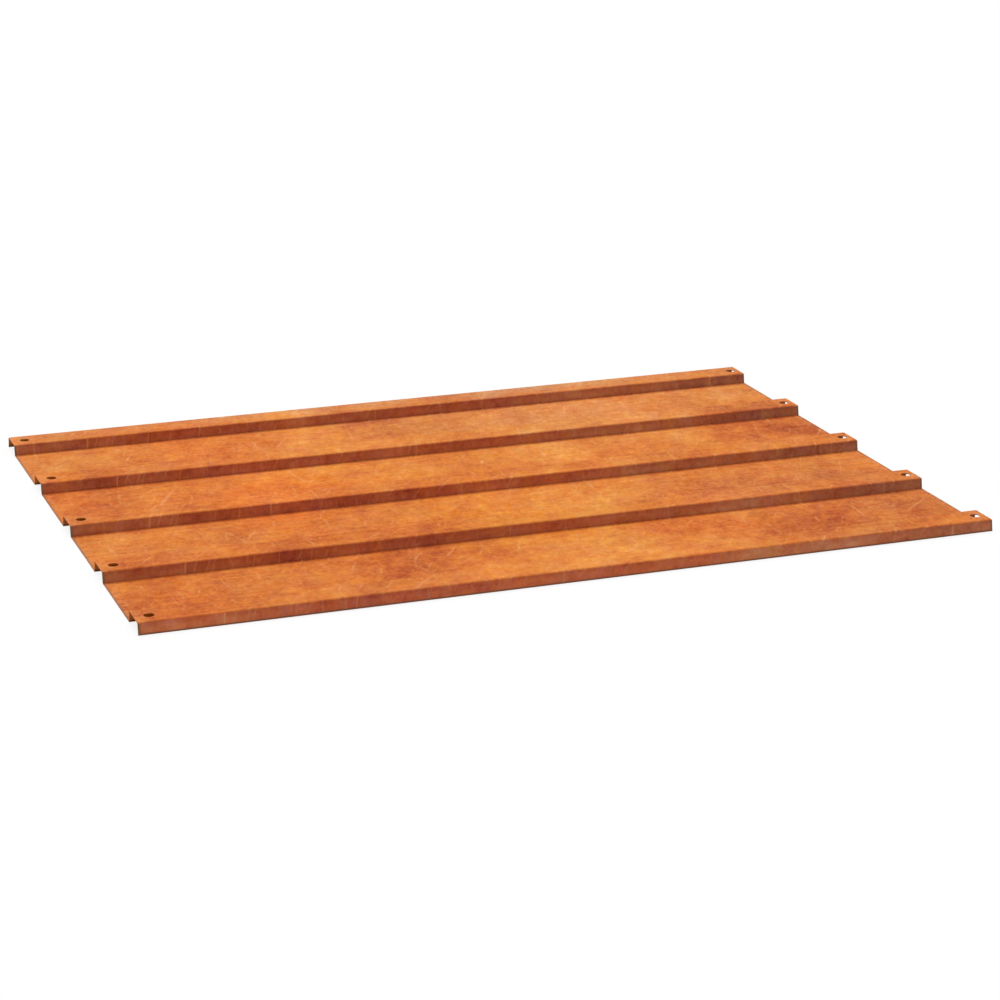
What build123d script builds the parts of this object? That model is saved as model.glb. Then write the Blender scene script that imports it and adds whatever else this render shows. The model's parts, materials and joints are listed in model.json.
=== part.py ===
from build123d import *
import os
from math import hypot

# A low box-rib cladding sheet, roll-formed from one flat strip of weathering steel.
# X runs along the ribs, Y across them, Z up. The flat pans lie on Z = 0, and the
# origin is the middle of the sheet's footprint. Everything is in millimetres.

# Sheet
sheet_length = 900.0
sheet_thickness = 0.75

# Rolled section, measured to the outside of the sheet
rib_count = 5
rib_pitch = 150.0
rib_height = 12.0            # from the underside of the pans to the top of the crowns
crown_width = 34.0           # between the two bends of a crown
wall_run = 2.0               # sideways lean of a wall over the whole rib height
inside_bend_radius = 0.75

# Round fixing holes, one near each end of every crown
hole_diameter = 10.0
left_hole_setback = 15.0     # from the sheet's end to the middle of the hole
right_hole_setback = 10.5

# Worked out from the sizes above
wall_lean = wall_run / rib_height
wall_width_in_y = sheet_thickness * hypot(1, wall_lean)
rib_centres = [(rib - (rib_count - 1) / 2) * rib_pitch for rib in range(rib_count)]


def wall_corner(rib_centre, side, z, depth):
    """The (y, z) point where a rib's wall meets height z, on the face that lies depth under
    the upper face. side is -1 for the near wall of the rib and 1 for the far wall."""
    lean = (rib_height - z) * wall_lean
    reach = crown_width / 2 + lean - wall_width_in_y * depth / sheet_thickness
    return (rib_centre + side * reach, z)


def rolled_line(depth):
    """Corners of one face of the sheet with their bend radii, from the near leg to the far leg.
    depth is 0 for the upper face and the sheet's thickness for the underside."""
    crown_z = rib_height - depth
    pan_z = sheet_thickness - depth
    crown_radius = inside_bend_radius + sheet_thickness - depth
    pan_radius = inside_bend_radius + depth
    line = []
    for centre in rib_centres:
        line.append((wall_corner(centre, -1, pan_z, depth), pan_radius))
        line.append((wall_corner(centre, -1, crown_z, depth), crown_radius))
        line.append((wall_corner(centre, 1, crown_z, depth), crown_radius))
        line.append((wall_corner(centre, 1, pan_z, depth), pan_radius))
    # The outer legs of the first and last rib have no pan: they are cut off square at Z = 0
    line[0] = (wall_corner(rib_centres[0], -1, 0, depth), 0)
    line[-1] = (wall_corner(rib_centres[-1], 1, 0, depth), 0)
    return line


def rolled_section():
    """The strip's cross-section, one thickness all the way, as a face across the X axis."""
    outline = rolled_line(0) + rolled_line(sheet_thickness)[::-1]
    corners = [corner for corner, radius in outline]
    radii = [radius for corner, radius in outline]
    return Plane.YZ * make_face(FilletPolyline(*corners, radius=radii, close=True))


def crown_holes():
    """Round cutters through every crown, in one row near each end of the sheet."""
    hole_rows = (-sheet_length / 2 + left_hole_setback, sheet_length / 2 - right_hole_setback)
    crown_middle = rib_height - sheet_thickness / 2
    cutter = Cylinder(hole_diameter / 2, 2 * sheet_thickness)
    return [Pos(x, y, crown_middle) * cutter for x in hole_rows for y in rib_centres]


ribbed_sheet = extrude(rolled_section(), sheet_length / 2, both=True) - crown_holes()

os.makedirs("parts", exist_ok=True)
export_step(ribbed_sheet, "parts/ribbed_sheet.step")
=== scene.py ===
import json
import math

import bmesh
import bpy
from mathutils import Matrix, Vector, noise


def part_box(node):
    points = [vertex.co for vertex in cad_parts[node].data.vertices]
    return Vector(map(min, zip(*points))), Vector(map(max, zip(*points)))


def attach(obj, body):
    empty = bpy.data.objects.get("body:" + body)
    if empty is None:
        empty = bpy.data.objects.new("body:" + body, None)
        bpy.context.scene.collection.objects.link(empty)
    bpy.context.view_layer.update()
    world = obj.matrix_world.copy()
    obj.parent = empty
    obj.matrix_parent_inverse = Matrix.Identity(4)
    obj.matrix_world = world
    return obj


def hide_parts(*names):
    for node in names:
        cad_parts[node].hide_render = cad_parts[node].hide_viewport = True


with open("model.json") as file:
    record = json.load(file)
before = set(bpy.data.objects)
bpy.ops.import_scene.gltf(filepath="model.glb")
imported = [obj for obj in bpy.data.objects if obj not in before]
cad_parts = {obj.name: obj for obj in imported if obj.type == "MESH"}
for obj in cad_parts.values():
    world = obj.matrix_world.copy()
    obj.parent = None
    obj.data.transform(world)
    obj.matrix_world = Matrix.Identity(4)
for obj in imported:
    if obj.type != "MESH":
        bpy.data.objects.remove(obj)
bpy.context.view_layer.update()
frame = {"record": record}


def addObject(name, data):
    made = bpy.data.objects.new(name, data)
    bpy.context.scene.collection.objects.link(made)
    return made


# An sRGB colour of 0 to 255, as the linear colour that a shader takes
def linear(red, green, blue):
    def one(level):
        level = level / 255
        return level / 12.92 if level <= 0.04045 else ((level + 0.055) / 1.055) ** 2.4
    return (one(red), one(green), one(blue))


# A value inside a material, which Python's own operators add Math nodes to
class Value:
    def __init__(self, paint, socket):
        self.paint = paint
        self.socket = socket

    def work(self, operation, first, second=0.0):
        return self.paint.add("ShaderNodeMath", {"operation": operation}, {0: first, 1: second})

    def __add__(self, other):
        return self.work("ADD", self, other)

    def __sub__(self, other):
        return self.work("SUBTRACT", self, other)

    def __rsub__(self, other):
        return self.work("SUBTRACT", other, self)

    def __mul__(self, other):
        return self.work("MULTIPLY", self, other)

    def __abs__(self):
        return self.work("ABSOLUTE", self)

    __radd__ = __add__
    __rmul__ = __mul__

    def larger(self, other):
        return self.work("MAXIMUM", self, other)

    def wrap(self, low, high):
        return self.paint.add("ShaderNodeMath", {"operation": "WRAP"}, {0: self, 1: high, 2: low})


# The nodes of one material or world under construction
class Paint:
    def __init__(self, tree):
        self.tree = tree
        tree.nodes.clear()

    # Adds any node: its settings go first, then its sockets' values or links. Gives back the outputs
    # asked for. Colours are given as three numbers.
    def add(self, kind, settings=None, sockets=None, outputs=(0,)):
        node = self.tree.nodes.new(kind)
        for name, value in (settings or {}).items():
            if name == "stops":
                self.setStops(node.color_ramp, value)
            else:
                setattr(node, name, value)
        for name, value in (sockets or {}).items():
            socket = self.find(node.inputs, name)
            if isinstance(value, Value):
                self.tree.links.new(value.socket, socket)
            else:
                socket.default_value = (*value, 1) if socket.type == "RGBA" else value
        if not node.outputs:
            return None
        found = [Value(self, self.find(node.outputs, name)) for name in outputs]
        return found[0] if len(found) == 1 else found

    def find(self, sockets, name):
        if isinstance(name, int):
            return sockets[name]
        return next(socket for socket in sockets if name in (socket.identifier, socket.name))

    def setStops(self, ramp, stops):
        while len(ramp.elements) < len(stops):
            ramp.elements.new(0.5)      # its real place follows
        for element, (place, colour) in zip(ramp.elements, stops):
            element.position = place
            element.color = (*colour, 1)

    def ramp(self, value, low, high, lowOut=0.0, highOut=1.0):
        return self.add("ShaderNodeMapRange", {"interpolation_type": "SMOOTHSTEP"}, {
            "Value": value, "From Min": low, "From Max": high, "To Min": lowOut, "To Max": highOut})

    # 1 up to the first limit, smoothly down to 0 at the second
    def fade(self, value, full, gone):
        return self.ramp(value, full, gone, 1.0, 0.0)

    def mix(self, factor, first, second):
        return self.add("ShaderNodeMix", {"data_type": "RGBA"},
                        {"Factor_Float": factor, "A_Color": first, "B_Color": second}, ("Result_Color",))

    # Multiplies a colour by a tint where the mask is 1
    def shade(self, colour, mask, tint):
        return self.vector("MULTIPLY", colour, self.mix(mask, (1, 1, 1), tint))

    def vector(self, operation, first, second):
        return self.add("ShaderNodeVectorMath", {"operation": operation}, {0: first, 1: second})

    def scaled(self, vector, factor):
        return self.add("ShaderNodeVectorMath", {"operation": "SCALE"}, {0: vector, "Scale": factor})

    def length(self, vector):
        return self.add("ShaderNodeVectorMath", {"operation": "LENGTH"}, {0: vector}, ("Value",))

    def total(self, vectors):
        result = (0, 0, 0)
        for vector in vectors:
            result = self.vector("ADD", result, vector)
        return result

    def split(self, vector):
        return self.add("ShaderNodeSeparateXYZ", None, {0: vector}, ("X", "Y", "Z"))

    # The place as seen from a spot of its own: moved there, turned, and measured in its own half widths
    def around(self, place, at, size, turn=0.0):
        return self.add("ShaderNodeMapping", {"vector_type": "TEXTURE"}, {
            "Vector": place, "Location": (at[0], at[1], 0), "Scale": (size[0], size[1], 1),
            "Rotation": (0, 0, math.radians(turn))})

    def noise(self, place, kind, outputs=("Fac",)):
        if "move" in kind:
            place = self.vector("ADD", place, kind["move"])
        return self.add("ShaderNodeTexNoise", {"noise_dimensions": "3D"}, {
            "Vector": place, "Scale": 1 / kind["size"], "Detail": kind["detail"],
            "Roughness": kind["rough"]}, outputs)


# Where the camera stands, in metres and degrees. Heading 0 looks along +Y and turns towards +X.
camera = {
    "position": (-0.9708, -2.6777, 0.9137),
    "heading": 19.687,
    "lookDown": 18.056,
    "sensor": 36.0,         # mm
    "lens": 99.39,          # mm
    "shift": 0.0337,        # the photograph's frame sits a little right of the lens axis
    "clipEnd": 100.0,
}


def makeCamera():
    lens = bpy.data.cameras.new("photoCamera")
    lens.sensor_width = camera["sensor"]
    lens.lens = camera["lens"]
    lens.shift_x = camera["shift"]
    lens.clip_end = camera["clipEnd"]
    made = addObject("photoCamera", lens)
    made.location = camera["position"]
    made.rotation_euler = (math.radians(90 - camera["lookDown"]), 0, -math.radians(camera["heading"]))
    bpy.context.scene.camera = made


# Plain studio: a wide soft light high behind the sheet, a grey world and a white floor
studio = {
    "lampStrength": 2.07,
    "lampWidth": 40.0,      # how wide the light is in the sky, in degrees, so how soft its shadows are
    "lampTilt": 25.0,       # degrees from straight down, from behind the sheet
    "worldGrey": 0.42,
    "floorSize": 40.0,
    "floorDrop": 0.0002,    # keeps the floor just clear of the pans' underside
    "floorColour": 0.68,    # what the floor throws back on the sheet
    "floorOwnWhite": 0.86,  # how much of the floor is plain white to the camera and to gloss
}


# 1 for what the camera sees straight or through gloss or glass, and 0 for the light on the object
def seenDirectly(paint):
    straight, gloss, glass = paint.add("ShaderNodeLightPath", None, None,
                                       ("Is Camera Ray", "Is Glossy Ray", "Is Transmission Ray"))
    return straight.larger(gloss).larger(glass)


def makeFloor():
    material = bpy.data.materials.new("studioFloor")
    material.use_nodes = True
    paint = Paint(material.node_tree)
    seen = seenDirectly(paint)
    colour = paint.mix(seen, (studio["floorColour"],) * 3, (1, 1, 1))
    lit = paint.add("ShaderNodeBsdfDiffuse", None, {"Color": colour})
    white = paint.add("ShaderNodeEmission", None, {"Color": (1, 1, 1), "Strength": 1.0})
    surface = paint.add("ShaderNodeMixShader", None, {0: seen * studio["floorOwnWhite"], 1: lit, 2: white})
    paint.add("ShaderNodeOutputMaterial", None, {"Surface": surface})

    half = studio["floorSize"] / 2
    corners = ((-half, -half), (half, -half), (half, half), (-half, half))
    mesh = bpy.data.meshes.new("floor")
    mesh.from_pydata([(x, y, -studio["floorDrop"]) for x, y in corners], [], [(0, 1, 2, 3)])
    mesh.materials.append(material)
    addObject("floor", mesh)


def makeLight():
    lamp = bpy.data.lights.new("overhead", "SUN")
    lamp.energy = studio["lampStrength"]
    lamp.angle = math.radians(studio["lampWidth"])
    addObject("overhead", lamp).rotation_euler = (-math.radians(studio["lampTilt"]), 0, 0)

    world = bpy.data.worlds.new("studioWorld")
    bpy.context.scene.world = world
    world.use_nodes = True
    paint = Paint(world.node_tree)
    level = seenDirectly(paint) * (1 - studio["worldGrey"]) + studio["worldGrey"]
    background = paint.add("ShaderNodeBackground", None, {"Color": (1, 1, 1), "Strength": level})
    paint.add("ShaderNodeOutputWorld", None, {"Surface": background})


# The sheet's own sizes that the frame doesn't tell, in metres
sheet = {
    "ribs": 5,
    "thickness": 0.00075,
    "wallRun": 0.002,        # sideways lean of a wall over the whole height
    "insideBend": 0.00075,
    "bendSteps": 6,
    "panSteps": 12,
    "crownSteps": 4,
    "wallSteps": 2,
    "stationGap": 0.012,     # spacing of the cross-sections along the ribs
    "edgeChamfer": 0.00012,
    "edgeWander": 0.00012,   # how unevenly the shear cut the ends
    "edgeWaves": 90.0,       # its waves in a metre across the ribs
    "edgeSeed": 7.7,
    "wanderReach": 0.004,    # how far in from an end the points still follow it
    "panLift": 0.00025,      # how far a pan bows up between its bends
    "panWaves": (6.0, 4.0),  # how often the bow changes in a metre along the ribs and across them
    "panSeed": 3.1,
    "panFade": 0.25,         # how soon the bow begins past a wall, as a share of half the pitch
    "holeSides": 56,
    "holeRollover": 0.0003,  # how far the punch rounded the upper rim of a hole
    "rolloverSteps": 4,
    "punchDepth": 0.003,     # how far down the punch goes from the crown's top
    "sharpAngle": 35.0,      # degrees: edges that turn more than this stay sharp
}


# Adds the sizes that the frame and the record give
def sheetSizes():
    low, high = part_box("ribbed_sheet")
    outer = next(mount for mount in frame["record"]["mounts"] if mount["name"] == "outer_rib_holes")
    middleX = outer["pos_m"][0]
    rowGap = outer["dims"]["spacing_x_mm"] / 1000
    pans = sheet["ribs"] - 1
    sheet["halfLength"] = (high.x - low.x) / 2
    sheet["halfWidth"] = high.y
    sheet["height"] = high.z - low.z
    sheet["pitch"] = outer["dims"]["spacing_y_mm"] / 1000 / pans
    sheet["holeRadius"] = outer["dims"]["hole_r_mm"] / 1000
    sheet["holeRows"] = (middleX - rowGap / 2, middleX + rowGap / 2)
    sheet["crownWidth"] = high.y - low.y - pans * sheet["pitch"] - 2 * sheet["wallRun"]
    sheet["ribCentres"] = [(rib - pans / 2) * sheet["pitch"] for rib in range(sheet["ribs"])]


# The middle line of the strip as (y, z) corners, near leg first
def middleLine():
    half = sheet["thickness"] / 2
    lean = sheet["wallRun"] / sheet["height"]
    inset = half * math.hypot(1, lean)
    corners = []
    for rib, centre in enumerate(sheet["ribCentres"]):
        for side, places in ((-1, ("foot", "crown")), (1, ("crown", "foot"))):
            outerLeg = (rib == 0 and side < 0) or (rib == sheet["ribs"] - 1 and side > 0)
            for place in places:
                z = sheet["height"] - half if place == "crown" else (0 if outerLeg else half)
                reach = sheet["crownWidth"] / 2 + (sheet["height"] - z) * lean - inset
                corners.append(Vector((centre + side * reach, z)))
    return corners


def squareTo(way):
    return Vector((-way.y, way.x))


# Points round a bend, each with the direction square to the strip
def bendPoints(corner, before, after):
    radius = sheet["insideBend"] + sheet["thickness"] / 2
    turn = before.angle_signed(after)
    side = 1 if turn > 0 else -1
    start = corner - before * radius * math.tan(abs(turn) / 2)
    spoke = squareTo(before) * side
    centre = start - spoke * radius
    points = []
    for step in range(sheet["bendSteps"] + 1):
        turned = Matrix.Rotation(-turn * step / sheet["bendSteps"], 2) @ spoke
        points.append((centre + turned * radius, turned * side))
    return points


# Points of a straight run between its two ends
def runPoints(start, end, steps):
    normal = squareTo((end - start).normalized())
    return [(start.lerp(end, step / steps), normal) for step in range(1, steps)]


# How many steps the straight run up to a corner takes
def stepsTo(corner, way):
    if abs(way.y) > abs(way.x):
        return sheet["wallSteps"]
    return sheet["panSteps"] if corner.y < sheet["height"] / 2 else sheet["crownSteps"]


# The whole section, as points of the middle line with the direction square to the strip at each
def sectionPoints():
    corners = middleLine()
    ways = [(end - start).normalized() for start, end in zip(corners, corners[1:])]
    points = [(corners[0], squareTo(ways[0]))]
    for corner, before, after in zip(corners[1:-1], ways, ways[1:]):
        bend = bendPoints(corner, before, after)
        points += runPoints(points[-1][0], bend[0][0], stepsTo(corner, before)) + bend
    points += runPoints(points[-1][0], corners[-1], sheet["wallSteps"])
    return points + [(corners[-1], squareTo(ways[-1]))]


# Rolled sheet metal is never quite flat: the pans bow up a hair
def bow(x, y):
    nearest = min(abs(y - centre) for centre in sheet["ribCentres"])
    pastWall = (nearest - sheet["crownWidth"] / 2 - sheet["wallRun"]) / (sheet["pitch"] / 2)
    share = min(max(pastWall / sheet["panFade"], 0), 1)
    along, across = sheet["panWaves"]
    wave = 0.5 + 0.5 * noise.noise(Vector((x * along, y * across, sheet["panSeed"])))
    return sheet["panLift"] * share * share * wave


# Where the cross-sections stand along the ribs, with one more beside each end for its chamfer
def stations():
    half = sheet["halfLength"]
    count = round(2 * half / sheet["stationGap"])
    between = [-half + 2 * half * step / count for step in range(1, count)]
    return [-half, -half + sheet["edgeChamfer"]] + between + [half - sheet["edgeChamfer"], half]


# One cross-section: a row of points on the upper face and one on the underside
def addSection(shape, points, x):
    fromEnd = sheet["halfLength"] - abs(x)
    half = sheet["thickness"] / 2 - (sheet["edgeChamfer"] if fromEnd == 0 else 0)
    follow = max(0, 1 - fromEnd / sheet["wanderReach"])     # how much of the uneven cut is felt here
    rows = ([], [])
    for middle, normal in points:
        waves = noise.noise(Vector((middle.x * sheet["edgeWaves"], x, sheet["edgeSeed"])))
        wander = sheet["edgeWander"] * waves * follow
        lift = bow(x, middle.x)
        for row, out in zip(rows, (half, -half)):
            spot = middle + normal * out
            z = 0 if middle.y == 0 else spot.y + lift      # the outer legs are cut off level
            row.append(shape.verts.new((x + wander, spot.x, z)))
    return rows


# A strip of faces between two rows that have as many points
def addStrip(shape, first, second):
    for corners in zip(first, second, second[1:], first[1:]):
        shape.faces.new(corners)


def shapeToObject(shape, name):
    mesh = bpy.data.meshes.new(name)
    shape.to_mesh(mesh)
    shape.free()
    return addObject(name, mesh)


def sweptSheet():
    shape = bmesh.new()
    points = sectionPoints()
    sections = [addSection(shape, points, x) for x in stations()]
    for (top, under), (nextTop, nextUnder) in zip(sections, sections[1:]):
        addStrip(shape, top, nextTop)
        addStrip(shape, nextUnder, under)
    for top, under in (sections[0], sections[-1]):
        addStrip(shape, top, under)
    for leg in (0, -1):
        addStrip(shape, [top[leg] for top, under in sections], [under[leg] for top, under in sections])
    bmesh.ops.recalc_face_normals(shape, faces=shape.faces)
    return shapeToObject(shape, "rustedSheet")


# The punch's profile as (radius, z): straight through the metal, flared at the top where the rim rolled over
def punchProfile():
    radius, top, roll = sheet["holeRadius"], sheet["height"], sheet["holeRollover"]
    profile = [(radius, top - sheet["punchDepth"])]
    for step in range(sheet["rolloverSteps"] + 1):
        angle = math.pi / 2 * step / sheet["rolloverSteps"]
        profile.append((radius + roll * (1 - math.cos(angle)), top - roll + roll * math.sin(angle)))
    return profile + [(radius + roll, top + sheet["thickness"])]


def addPunch(shape, x, y):
    turns = [2 * math.pi * side / sheet["holeSides"] for side in range(sheet["holeSides"])]
    rings = []
    for reach, z in punchProfile():
        spots = [(x + reach * math.cos(turn), y + reach * math.sin(turn), z) for turn in turns]
        rings.append([shape.verts.new(spot) for spot in spots])
    for low, high in zip(rings, rings[1:]):
        addStrip(shape, high + high[:1], low + low[:1])
    shape.faces.new(rings[0][::-1])
    shape.faces.new(rings[-1])


def holePunches():
    shape = bmesh.new()
    for x in sheet["holeRows"]:
        for y in sheet["ribCentres"]:
            addPunch(shape, x, y)
    return shapeToObject(shape, "holePunches")


def makeSheet():
    sheetSizes()
    made = sweptSheet()
    punches = holePunches()
    cut = made.modifiers.new("holes", "BOOLEAN")
    cut.operation = "DIFFERENCE"
    cut.solver = "EXACT"
    cut.object = punches
    bpy.context.view_layer.update()
    mesh = bpy.data.meshes.new_from_object(made.evaluated_get(bpy.context.evaluated_depsgraph_get()))
    made.modifiers.clear()
    made.data = mesh
    bpy.data.objects.remove(punches)
    mesh.polygons.foreach_set("use_smooth", [True] * len(mesh.polygons))
    mesh.set_sharp_from_angle(angle=math.radians(sheet["sharpAngle"]))
    made.modifiers.new("normals", "WEIGHTED_NORMAL").keep_sharp = True
    print("sheet mesh:", len(mesh.vertices), "points,", len(mesh.polygons), "faces")
    return made


# Rust of the sheet. Colours are sRGB and lengths are metres. A pair of lengths, levels or slopes gives
# where something begins to change and where the change is whole.
rust = {
    # Tones from dark to light, and what shifts them
    "tones": [(160, 70, 34), (184, 90, 42), (204, 110, 50), (219, 127, 58), (230, 143, 67), (240, 162, 82),
              (248, 182, 100)],
    "redShift": (0.10, -0.12, -0.26),      # what full redness adds to each channel, as a share of it
    "paleShift": (-0.04, -0.05, 0.50),     # the same for the pale, greyish bloom

    # Noise patterns: size of the largest blotch, how many finer layers, how strong those are, and for
    # some a move, so that they don't follow the first
    "clouds": {"size": 0.10, "detail": 5.2, "rough": 0.97},
    "redClouds": {"size": 0.10, "detail": 4.8, "rough": 1.0, "move": (5, 3, 0)},
    "bloom": {"size": 0.032, "detail": 4.0, "rough": 0.95, "move": (2, 7, 0)},
    "grain": {"size": 0.0034, "detail": 2.0, "rough": 0.7},
    "rollMarks": {"size": 0.006, "detail": 1.6, "rough": 0.7},
    "warp": {"size": 0.05, "detail": 3.0, "rough": 0.6},
    "wallRuns": {"size": 0.0045, "detail": 3.0, "rough": 0.8},
    "scratchWear": {"size": 0.02, "detail": 3.0, "rough": 0.6},
    "flakes": {"size": 0.0045, "detail": 2.0, "rough": 0.7},

    # How far the patterns swing the tone, the redness and the bloom
    "cloudGain": 1.60,
    "redGain": 2.9,
    "bloomGain": 3.6,
    "grainTone": 0.08,
    "grainShade": 0.06,
    "rollTone": 0.32,

    # How the patterns lie
    "grainRun": 68.0,                      # the way that clouds and grain are drawn out, in degrees from +X
    "grainStretch": 1.4,
    "rollStretch": 8.0,                    # how long the roll marks are for their width
    "warpPush": 0.07,                      # how far the warp pushes a patch's outline to and fro
    "patchReach": 1.15,                    # where a patch has faded out, in its own half widths

    # Bump and gloss
    "bumpShares": (0.6, 0.4),              # of the grain and of the clouds
    "bumpStrength": 0.35,
    "bumpDepth": 0.00003,
    "roughness": 0.86,
    "scratchGloss": 0.25,                  # how much smoother a scratch is
    "specular": 0.12,

    # Walls
    "wallTurn": (0.35, 0.75),              # the normal's upward share, on a wall and on a flat
    "backTurn": (0.1, 0.5),                # its share towards +Y, on walls that face that way
    # painted shade on walls facing -Y between the ribs, painted light on the near outer leg, and a darker
    # tint on walls facing +Y
    "ribWallTint": (0.84, 0.84, 1.70),
    "outerWallTint": (1.06, 0.82, 1.56),
    "backWallTint": (0.86, 0.80, 1.00),
    "outerWallInset": (0.001, 0.0005),     # measured in from the outer crown edges, where that tint sets in
    "runStretch": 0.12,                    # draws the pale runs out down the wall
    "runLevels": (0.50, 0.72),
    "runShare": 0.36,
    "runColour": (196, 134, 104),

    # The walls' inner faces in the channel under a rib, and the holes' edges, carry painted light and shade.
    # They are told by the metres from the rib's middle times the normal's share along Y: below zero there.
    "insideTurn": (-0.006, -0.001),
    # painted light: brighter and more orange inside, for light bouncing round the channel
    "insideTint": (1.34, 1.35, 0.30),
    "mouthTint": (0.84, 0.80, 0.90),       # painted shade at the channel's two mouths
    "mouthDepth": (0.009, 0.014),
    "floorShade": 0.32,                    # painted shade: how dark the inside is at the floor
    "floorShadeHeight": 0.004,             # how far up from the floor the inside is darker

    # Painted shade along the crowns' near bends, a painted shadow at the walls' feet, a painted highlight
    # ring and a darker rim round each hole
    "bendShade": (0.83, 0.72, 0.76),
    "bendInset": 0.0013,                   # how far in from a crown's edge the dark line lies
    "bendReach": (0.00078, 0.0026),
    "nearSide": (-0.001, 0.001),           # only the bends on the -Y side of a rib
    # painted shadow at the walls' feet
    "footShade": (0.80, 0.63, 0.70),
    "footWidth": 0.0080,
    "footHeight": (0.00075, 0.00225),      # leaves the walls above the foot alone
    "ringPale": 0.90,                      # painted highlight: a pale ring round each hole
    "ringTone": 0.13,
    "ringWidth": 0.0045,
    "holeRimShade": (0.60, 0.48, 0.45),    # darker rolled-over rim of a hole
    "holeRimReach": (0.00036, 0.0009),
    "pastRim": (0.0002, 0.0006),           # past this the metal round a hole may count as a wall

    # Scratches
    "scratch": (240, 172, 108),
    "scratchRun": 74.0,                    # the way that most fine scratches run, in degrees from +X
    "scratchSpread": 64.0,                 # and how far their ways spread
    "scratchCurl": 0.36,                   # how much they may bend
    "scratchCore": (0.2, 0.3),             # shares of a line's width and of its half length that show in full
    "shareSoftness": 0.02,                 # lets a few scratches be fainter than the rest
    "wearLevels": (0.35, 0.60),
    "wornTo": 0.25,                        # how faint scratches are where they have weathered
    "wallScratches": 0.75,                 # how clear they are on the walls

    # Sheared ends and lower edges
    "flakeColour": (238, 158, 116),        # paler flaked spots close to the sheared ends
    "flakeLevels": (0.48, 0.62),
    "flakeReach": 0.014,
    "flakeShare": 0.45,
    "cutRim": (146, 106, 78),              # the shear's bruise on the pans
    "cutRimReach": (0.00072, 0.0036),
    "cutRimHeight": (0.0015, 0.0030),      # keeps it off the crowns
    "cutRimShare": 0.60,
    "cutEdge": (148, 110, 78),             # and on the walls
    "cutEdgeReach": (0.00102, 0.0034),
    "lowerEdge": (156, 104, 76),
    "lowerEdgeReach": (0.0008, 0.0020),
}

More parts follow.
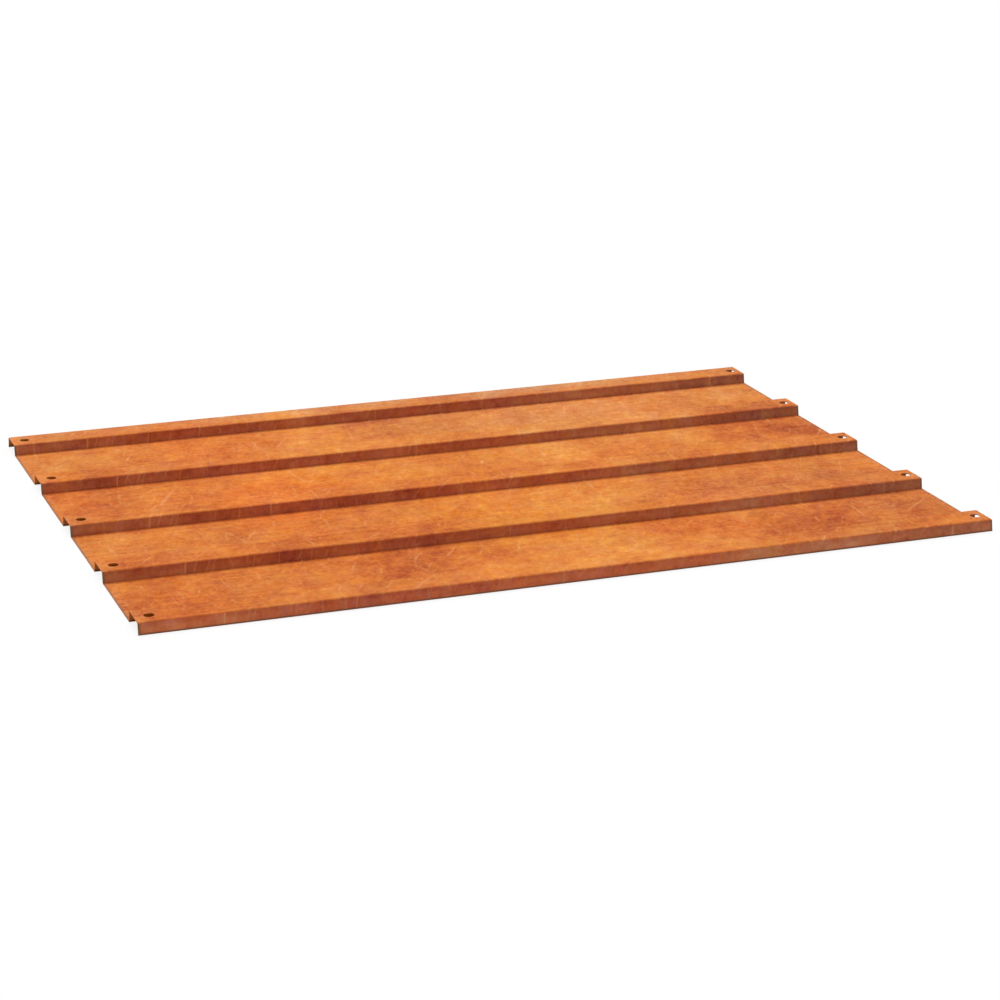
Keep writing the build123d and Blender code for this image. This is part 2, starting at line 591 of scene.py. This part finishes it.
# Cloudy patches, seen from above: middle, half widths and turn. Their looks are lighter or darker,
# redder or duller, and paler or not.
rustPatches = [
    {"at": (-0.41, 0.245), "size": (0.09, 0.06), "turn": 0, "looks": (0.03, -0.10, 0.10)},
    {"at": (-0.25, 0.235), "size": (0.11, 0.12), "turn": 0, "looks": (-0.04, 0.50, 0.10)},
    {"at": (-0.34, 0.160), "size": (0.17, 0.07), "turn": 0, "looks": (-0.07, 0.05, 0.10)},
    {"at": (-0.13, 0.225), "size": (0.09, 0.13), "turn": 10, "looks": (0.14, 0.10, 0.10)},
    {"at": (0.01, 0.225), "size": (0.12, 0.10), "turn": 0, "looks": (0.02, -0.35, 0.10)},
    {"at": (-0.04, 0.270), "size": (0.05, 0.02), "turn": 0, "looks": (-0.16, 0.05, 0.80)},
    {"at": (0.19, 0.205), "size": (0.19, 0.15), "turn": 0, "looks": (0.14, -0.30, 0.25)},
    {"at": (0.26, 0.155), "size": (0.14, 0.05), "turn": 0, "looks": (0.08, 0.00, 0.30)},
    {"at": (0.39, 0.250), "size": (0.11, 0.07), "turn": 0, "looks": (0.11, -0.35, 0.10)},
    {"at": (0.20, 0.250), "size": (0.34, 0.08), "turn": 0, "looks": (0.00, 0.00, 0.55)},
    # the long strip along the farthest crown is painted sheen: it makes that crown paler and bluer all along
    {"at": (0.00, 0.312), "size": (0.80, 0.030), "turn": 0, "looks": (0.07, -0.40, 1.10)},
    {"at": (0.17, 0.312), "size": (0.14, 0.030), "turn": 0, "looks": (0.08, -0.50, 0.30)},
    {"at": (0.40, 0.155), "size": (0.10, 0.04), "turn": 0, "looks": (-0.12, -0.20, 0.20)},
    {"at": (-0.41, 0.075), "size": (0.08, 0.11), "turn": 0, "looks": (-0.14, 0.15, 0.10)},
    {"at": (-0.22, 0.045), "size": (0.15, 0.12), "turn": 0, "looks": (-0.02, 0.80, 0.00)},
    {"at": (-0.15, 0.100), "size": (0.08, 0.07), "turn": 0, "looks": (0.10, 0.20, -0.30)},
    {"at": (-0.03, 0.040), "size": (0.15, 0.11), "turn": 0, "looks": (0.02, 0.10, -0.25)},
    {"at": (0.12, 0.085), "size": (0.09, 0.07), "turn": -25, "looks": (0.17, 0.05, 0.05)},
    {"at": (0.42, 0.090), "size": (0.11, 0.07), "turn": 0, "looks": (-0.28, 0.10, 0.20)},
    {"at": (-0.41, 0.000), "size": (0.11, 0.04), "turn": 0, "looks": (-0.11, 0.10, 0.00)},
    {"at": (-0.39, -0.055), "size": (0.10, 0.06), "turn": 0, "looks": (0.04, -0.05, 0.00)},
    {"at": (-0.23, -0.035), "size": (0.07, 0.05), "turn": 0, "looks": (-0.04, 0.50, 0.00)},
    {"at": (-0.20, -0.135), "size": (0.16, 0.07), "turn": 0, "looks": (-0.15, 0.25, 0.00)},
    {"at": (-0.04, -0.090), "size": (0.12, 0.08), "turn": 0, "looks": (0.00, 0.00, -0.35)},
    {"at": (0.06, -0.095), "size": (0.17, 0.06), "turn": 60, "looks": (0.11, 0.00, -0.10)},
    {"at": (0.33, -0.115), "size": (0.22, 0.09), "turn": 0, "looks": (-0.14, -0.35, 0.45)},
    {"at": (-0.40, -0.235), "size": (0.10, 0.12), "turn": 0, "looks": (-0.23, 0.15, 0.00)},
    {"at": (-0.40, -0.300), "size": (0.12, 0.04), "turn": 0, "looks": (-0.14, 0.05, -0.10)},
    {"at": (-0.15, -0.215), "size": (0.12, 0.06), "turn": 5, "looks": (-0.19, 0.20, 0.00)},
    {"at": (0.03, -0.275), "size": (0.18, 0.09), "turn": 10, "looks": (0.18, 0.00, 0.05)},
    {"at": (0.02, -0.170), "size": (0.15, 0.07), "turn": 0, "looks": (0.00, 0.00, -0.40)},
    {"at": (0.14, -0.195), "size": (0.06, 0.04), "turn": 0, "looks": (-0.15, 0.40, 0.00)},
    {"at": (0.27, -0.225), "size": (0.14, 0.07), "turn": 0, "looks": (-0.22, 0.10, 0.00)},
    {"at": (0.39, -0.200), "size": (0.11, 0.05), "turn": 0, "looks": (-0.11, -0.20, 0.35)},
    {"at": (0.35, -0.275), "size": (0.17, 0.06), "turn": 0, "looks": (-0.15, -0.30, 0.20)},
]

# The walls' own patches along the sheet: middle, half length, then the same three looks
wallPatches = [
    {"at": -0.420, "half": 0.11, "looks": (0.02, -0.30, 0.00)},
    {"at": -0.225, "half": 0.12, "looks": (-0.06, 0.10, 0.05)},
    {"at": 0.225, "half": 0.13, "looks": (0.16, -0.85, -0.10)},
    {"at": 0.405, "half": 0.12, "looks": (-0.04, -1.50, 0.10)},
]


# Where a point of the sheet lies, as values of the material
class Spot:
    def __init__(self, paint):
        self.place, normal = paint.add("ShaderNodeTexCoord", None, None, ("Object", "Normal"))
        self.x, self.y, self.z = paint.split(self.place)
        normalY, normalZ = paint.split(normal)[1:]
        self.across = self.y.wrap(-sheet["pitch"] / 2, sheet["pitch"] / 2)      # from the middle of its rib
        self.fromRib = abs(self.across)
        self.fromEnd = sheet["halfLength"] - abs(self.x)
        leftRow, rightRow = sheet["holeRows"]
        fromRow = abs(abs(self.x - (leftRow + rightRow) / 2) - (rightRow - leftRow) / 2)
        toHole = paint.add("ShaderNodeCombineXYZ", None, {"X": fromRow, "Y": self.fromRib})
        self.fromHole = paint.length(toHole) - sheet["holeRadius"]      # from its edge
        pastRim = paint.ramp(self.fromHole, *rust["pastRim"])
        self.onWall = paint.fade(abs(normalZ), *rust["wallTurn"]) * pastRim
        self.inside = paint.fade(normalY * self.across, *rust["insideTurn"])
        self.outside = 1 - self.inside
        crownEdge = sheet["halfWidth"] - sheet["wallRun"]
        begins, ends = rust["outerWallInset"]
        self.onOuterWall = paint.ramp(abs(self.y), crownEdge - begins, crownEdge - ends) * self.outside
        self.facesBack = paint.ramp(normalY, *rust["backTurn"])


# How much lighter, redder and paler the patches make a point, with their outlines pushed about
def patchLooks(paint, spot):
    push = paint.vector("SUBTRACT", paint.noise(spot.place, rust["warp"], ("Color",)), (0.5, 0.5, 0.5))
    pushed = paint.vector("ADD", spot.place, paint.scaled(push, rust["warpPush"]))
    pushedX = paint.split(pushed)[0]
    flat = paint.vector("MULTIPLY", pushed, (1, 1, 0))

    def flatLooks(patch):
        reach = paint.length(paint.around(flat, patch["at"], patch["size"], patch["turn"]))
        return paint.scaled(patch["looks"], paint.fade(reach, 0.0, rust["patchReach"]))

    def wallLooks(patch):
        reach = abs(pushedX - patch["at"])
        return paint.scaled(patch["looks"], paint.fade(reach, 0.0, patch["half"] * rust["patchReach"]))

    onFlats = paint.scaled(paint.total(flatLooks(patch) for patch in rustPatches), 1 - spot.onWall)
    onWalls = paint.scaled(paint.total(wallLooks(patch) for patch in wallPatches), spot.onWall)
    return paint.split(paint.scaled(paint.vector("ADD", onFlats, onWalls), spot.outside))


# The rust itself: patches, clouds, bloom and grain drawn out one way, roll marks, and a painted highlight
# ring round each hole.
# Gives its colour and its height for the bump.
def rustAndRingHighlight(paint, spot):
    patchTone, patchRed, patchPale = patchLooks(paint, spot)
    drawn = paint.around(spot.place, (0, 0), (1, rust["grainStretch"]), rust["grainRun"] - 90)
    clouds, redClouds, bloom, grain = [paint.noise(drawn, rust[name])
                                       for name in ("clouds", "redClouds", "bloom", "grain")]
    drawnAlong = paint.vector("MULTIPLY", spot.place, (1 / rust["rollStretch"], 1, 1))
    rolled = paint.noise(drawnAlong, rust["rollMarks"])
    # painted highlight: a pale ring round each hole
    ringHighlight = paint.fade(spot.fromHole, 0.0, rust["ringWidth"])

    tone = patchTone + 0.5 + (clouds - 0.5) * rust["cloudGain"] + (grain - 0.5) * rust["grainTone"]
    tone = tone + (rolled - 0.5) * rust["rollTone"] + ringHighlight * rust["ringTone"]
    redness = patchRed + (redClouds - 0.5) * rust["redGain"]
    pale = patchPale + (bloom - 0.5) * rust["bloomGain"] + ringHighlight * rust["ringPale"]
    last = len(rust["tones"]) - 1
    stops = [(index / last, linear(*colour)) for index, colour in enumerate(rust["tones"])]
    colour = paint.add("ShaderNodeValToRGB", {"stops": stops}, {"Fac": tone}, ("Color",))
    redder = paint.scaled(rust["redShift"], redness)
    paler = paint.scaled(rust["paleShift"], pale)
    shift = paint.scaled(paint.total([(1, 1, 1), redder, paler]), 1 + (grain - 0.5) * rust["grainShade"])
    grainShare, cloudShare = rust["bumpShares"]
    return paint.vector("MULTIPLY", colour, shift), grain * grainShare + clouds * cloudShare


# Painted shade darkens the walls' outer faces that face -Y between the ribs, and painted light tints the near
# outer leg's face; faces towards +Y get a darker tint of their own. Pale rust runs go down all of them
def wallPaintedShadeAndRuns(paint, spot, colour):
    wallOuterFaces = spot.onWall * spot.outside
    tint = paint.mix(spot.onOuterWall, rust["ribWallTint"], rust["outerWallTint"])
    tint = paint.mix(spot.facesBack, tint, rust["backWallTint"])
    colour = paint.shade(colour, wallOuterFaces, tint)
    runs = paint.noise(paint.vector("MULTIPLY", spot.place, (1, 1, rust["runStretch"])), rust["wallRuns"])
    runs = paint.ramp(runs, *rust["runLevels"]) * wallOuterFaces * rust["runShare"]
    return paint.mix(runs, colour, linear(*rust["runColour"]))


# Painted light in the channels: brighter inside, with painted shade at the mouths and towards the floor
def channelPaintedLight(paint, spot, colour):
    mouth = paint.fade(spot.fromEnd, *rust["mouthDepth"])
    tinted = paint.vector("MULTIPLY", colour, paint.mix(mouth, rust["insideTint"], rust["mouthTint"]))
    light = paint.ramp(spot.z, 0.0, rust["floorShadeHeight"], rust["floorShade"], 1.0)
    return paint.mix(spot.inside, colour, paint.scaled(tinted, light))


# Painted shade along the crowns' near bends, a painted shadow at the walls' feet, and a darker rim round each
# hole
def paintedShadeAndRims(paint, spot, colour):
    bendMiddle = sheet["crownWidth"] / 2 - rust["bendInset"]
    onBend = paint.fade(abs(spot.fromRib - bendMiddle), *rust["bendReach"])
    onBend = onBend * paint.fade(spot.across, *rust["nearSide"])
    foot = sheet["crownWidth"] / 2 + sheet["wallRun"]
    onFoot = paint.fade(spot.fromRib, foot, foot + rust["footWidth"])
    onFoot = onFoot * paint.fade(spot.z, *rust["footHeight"])
    onRim = paint.fade(spot.fromHole, *rust["holeRimReach"]) * spot.outside
    colour = paint.shade(colour, onBend, rust["bendShade"])
    colour = paint.shade(colour, onFoot, rust["footShade"])
    return paint.shade(colour, onRim, rust["holeRimShade"])


# Long scratches that stand out, seen from above: middle, half length, way it runs, bend, width, strength
longScratches = [
    {"at": (-0.338, 0.052), "half": 0.080, "turn": 64, "bend": 0.8, "width": 0.0030, "strength": 0.42},
    {"at": (-0.341, 0.072), "half": 0.032, "turn": 68, "bend": -0.8, "width": 0.0010, "strength": 0.45},
    {"at": (-0.360, -0.005), "half": 0.022, "turn": 58, "bend": 2.0, "width": 0.0011, "strength": 0.40},
    {"at": (-0.172, 0.010), "half": 0.026, "turn": 116, "bend": 9.0, "width": 0.0012, "strength": 0.45},
    {"at": (-0.225, -0.005), "half": 0.016, "turn": 140, "bend": 4.0, "width": 0.0012, "strength": 0.40},
    {"at": (0.198, 0.245), "half": 0.026, "turn": 72, "bend": 2.0, "width": 0.0014, "strength": 0.50},
    {"at": (0.206, 0.240), "half": 0.020, "turn": 74, "bend": -1.0, "width": 0.0010, "strength": 0.35},
    {"at": (0.318, 0.243), "half": 0.026, "turn": 62, "bend": 2.5, "width": 0.0012, "strength": 0.40},
    {"at": (0.058, 0.222), "half": 0.020, "turn": 66, "bend": -2.0, "width": 0.0012, "strength": 0.50},
    {"at": (0.035, 0.082), "half": 0.008, "turn": 68, "bend": 0.0, "width": 0.0024, "strength": 0.55},
    {"at": (0.368, -0.040), "half": 0.030, "turn": 64, "bend": 1.0, "width": 0.0012, "strength": 0.40},
    {"at": (0.404, -0.066), "half": 0.034, "turn": 66, "bend": -1.2, "width": 0.0012, "strength": 0.40},
    {"at": (0.418, -0.215), "half": 0.038, "turn": 40, "bend": 1.0, "width": 0.0013, "strength": 0.50},
    {"at": (0.372, -0.205), "half": 0.026, "turn": 112, "bend": -2.0, "width": 0.0011, "strength": 0.35},
    {"at": (-0.338, -0.212), "half": 0.032, "turn": 96, "bend": 5.0, "width": 0.0011, "strength": 0.40},
    {"at": (-0.396, -0.255), "half": 0.050, "turn": 88, "bend": -1.5, "width": 0.0011, "strength": 0.35},
    {"at": (0.000, -0.235), "half": 0.030, "turn": 58, "bend": 3.0, "width": 0.0012, "strength": 0.35},
]

# Pale hairline scratches all over: size of the cell that holds one, width, half length, share of cells
# that have one, strength, and a move of the cells
fineScratches = [
    {"cell": 0.060, "width": 0.0021, "half": 0.026, "share": 0.60, "strength": 0.32, "move": (0.31, 0.12)},
    {"cell": 0.030, "width": 0.0017, "half": 0.013, "share": 0.58, "strength": 0.27, "move": (3.70, 1.37)},
    {"cell": 0.016, "width": 0.0014, "half": 0.007, "share": 0.50, "strength": 0.20, "move": (8.20, 3.03)},
]

# Pale marks that cross every wall at the same places: place along the sheet, lean, half width, strength
wallMarks = [
    {"at": -0.367, "lean": 0.12, "width": 0.0014, "strength": 0.62},
    {"at": -0.357, "lean": 0.35, "width": 0.0013, "strength": 0.30},
    {"at": -0.344, "lean": 0.40, "width": 0.0013, "strength": 0.27},
    {"at": -0.338, "lean": 0.30, "width": 0.0012, "strength": 0.28},
    {"at": -0.297, "lean": 0.20, "width": 0.0014, "strength": 0.24},
    {"at": -0.271, "lean": 0.10, "width": 0.0013, "strength": 0.24},
    {"at": -0.237, "lean": 0.15, "width": 0.0014, "strength": 0.27},
    {"at": -0.165, "lean": -0.10, "width": 0.0013, "strength": 0.15},
    {"at": -0.025, "lean": 0.10, "width": 0.0014, "strength": 0.28},
    {"at": 0.404, "lean": 0.00, "width": 0.0014, "strength": 0.28},
]


# One thin curved line, faint at its ends, from how far a point lies along it and across it
def line(paint, along, across, half, width, bend):
    widthCore, lengthCore = rust["scratchCore"]
    bent = abs(across + along * along * bend)
    return paint.fade(bent, width * widthCore, width) * paint.fade(abs(along), half * lengthCore, half)


def longScratch(paint, place, mark):
    along, across = paint.split(paint.around(place, mark["at"], (1, 1), mark["turn"]))[:2]
    return line(paint, along, across, mark["half"], mark["width"], mark["bend"]) * mark["strength"]


# Each Voronoi cell holds one slightly bent line at its own angle through the cell's point
def scratchCells(paint, place, kind):
    cell = kind["cell"]
    moved = paint.around(place, kind["move"], (cell, cell))
    colour, centre = paint.add("ShaderNodeTexVoronoi", {"voronoi_dimensions": "2D"},
                               {"Vector": moved, "Scale": 1.0}, ("Color", "Position"))
    turn, chance, curl = paint.add("ShaderNodeSeparateColor", None, {"Color": colour},
                                   ("Red", "Green", "Blue"))
    spread = math.radians(rust["scratchSpread"])
    firstWay = math.radians(rust["scratchRun"]) - spread / 2
    local = paint.add("ShaderNodeVectorRotate", {"rotation_type": "Z_AXIS"}, {
        "Vector": paint.vector("SUBTRACT", moved, centre), "Angle": turn * -spread - firstWay})
    along, across = paint.split(local)[:2]
    bend = (curl - 0.5) * rust["scratchCurl"]
    drawn = line(paint, along, across, kind["half"] / cell, kind["width"] / cell, bend)
    soft = rust["shareSoftness"]
    chosen = paint.ramp(chance, 1 - kind["share"] - soft, 1 - kind["share"] + soft)
    return drawn * chosen * kind["strength"]


def wallMark(paint, spot, mark):
    up = spot.z - sheet["height"] / 2
    across = spot.x - mark["at"] - up * mark["lean"]
    return line(paint, up, across, sheet["height"], mark["width"], 0.0) * mark["strength"]


# All the scratches, which carry on from the flats down the walls
def scratches(paint, spot):
    downWall = paint.add("ShaderNodeCombineXYZ", None, {"Y": (spot.z - sheet["height"]) * spot.onWall})
    unfolded = paint.vector("ADD", spot.place, downWall)
    lines = sum(longScratch(paint, unfolded, mark) for mark in longScratches)
    lines = lines + sum(scratchCells(paint, unfolded, kind) for kind in fineScratches)
    wear = paint.ramp(paint.noise(spot.place, rust["scratchWear"]), *rust["wearLevels"], rust["wornTo"], 1.0)
    lines = lines * wear * spot.outside * (1 - spot.onWall * (1 - rust["wallScratches"]))
    marks = sum(wallMark(paint, spot, mark) for mark in wallMarks)
    return lines + marks * spot.onWall * spot.outside


# Sheared ends are flaked and bruised, and the outer walls' lower edges are dark
def cutEdges(paint, spot, colour):
    offWall = 1 - spot.onWall
    flakes = paint.ramp(paint.noise(spot.place, rust["flakes"]), *rust["flakeLevels"])
    flakes = flakes * paint.fade(spot.fromEnd, 0.0, rust["flakeReach"]) * offWall * rust["flakeShare"]
    rim = paint.fade(spot.fromEnd, *rust["cutRimReach"]) * rust["cutRimShare"]
    rim = rim * offWall * paint.fade(spot.z, *rust["cutRimHeight"])
    bruise = paint.fade(spot.fromEnd, *rust["cutEdgeReach"]) * spot.onWall * spot.outside
    lowEdge = paint.fade(spot.z, *rust["lowerEdgeReach"]) * spot.onOuterWall
    colour = paint.mix(flakes, colour, linear(*rust["flakeColour"]))
    colour = paint.mix(rim, colour, linear(*rust["cutRim"]))
    colour = paint.mix(bruise, colour, linear(*rust["cutEdge"]))
    return paint.mix(lowEdge, colour, linear(*rust["lowerEdge"]))


def rustPaint():
    material = bpy.data.materials.new("weatheringSteel")
    material.use_nodes = True
    paint = Paint(material.node_tree)
    spot = Spot(paint)
    colour, height = rustAndRingHighlight(paint, spot)
    colour = wallPaintedShadeAndRuns(paint, spot, colour)
    colour = channelPaintedLight(paint, spot, colour)
    colour = paintedShadeAndRims(paint, spot, colour)
    lines = scratches(paint, spot)
    colour = paint.mix(lines, colour, linear(*rust["scratch"]))
    colour = cutEdges(paint, spot, colour)
    bump = paint.add("ShaderNodeBump", None, {
        "Strength": rust["bumpStrength"], "Distance": rust["bumpDepth"], "Height": height})
    surface = paint.add("ShaderNodeBsdfPrincipled", None, {
        "Base Color": colour, "Roughness": rust["roughness"] - lines * rust["scratchGloss"],
        "Normal": bump, "Specular IOR Level": rust["specular"]})
    paint.add("ShaderNodeOutputMaterial", None, {"Surface": surface})
    return material


makeCamera()
makeFloor()
makeLight()
print("camera, floor, lamp and world made")

rustedSheet = makeSheet()
rustedSheet.data.materials.clear()
rustedSheet.data.materials.append(rustPaint())
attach(rustedSheet, "root")
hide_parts("ribbed_sheet")
print("sheet painted")

bpy.context.scene.view_settings.view_transform = "Standard"
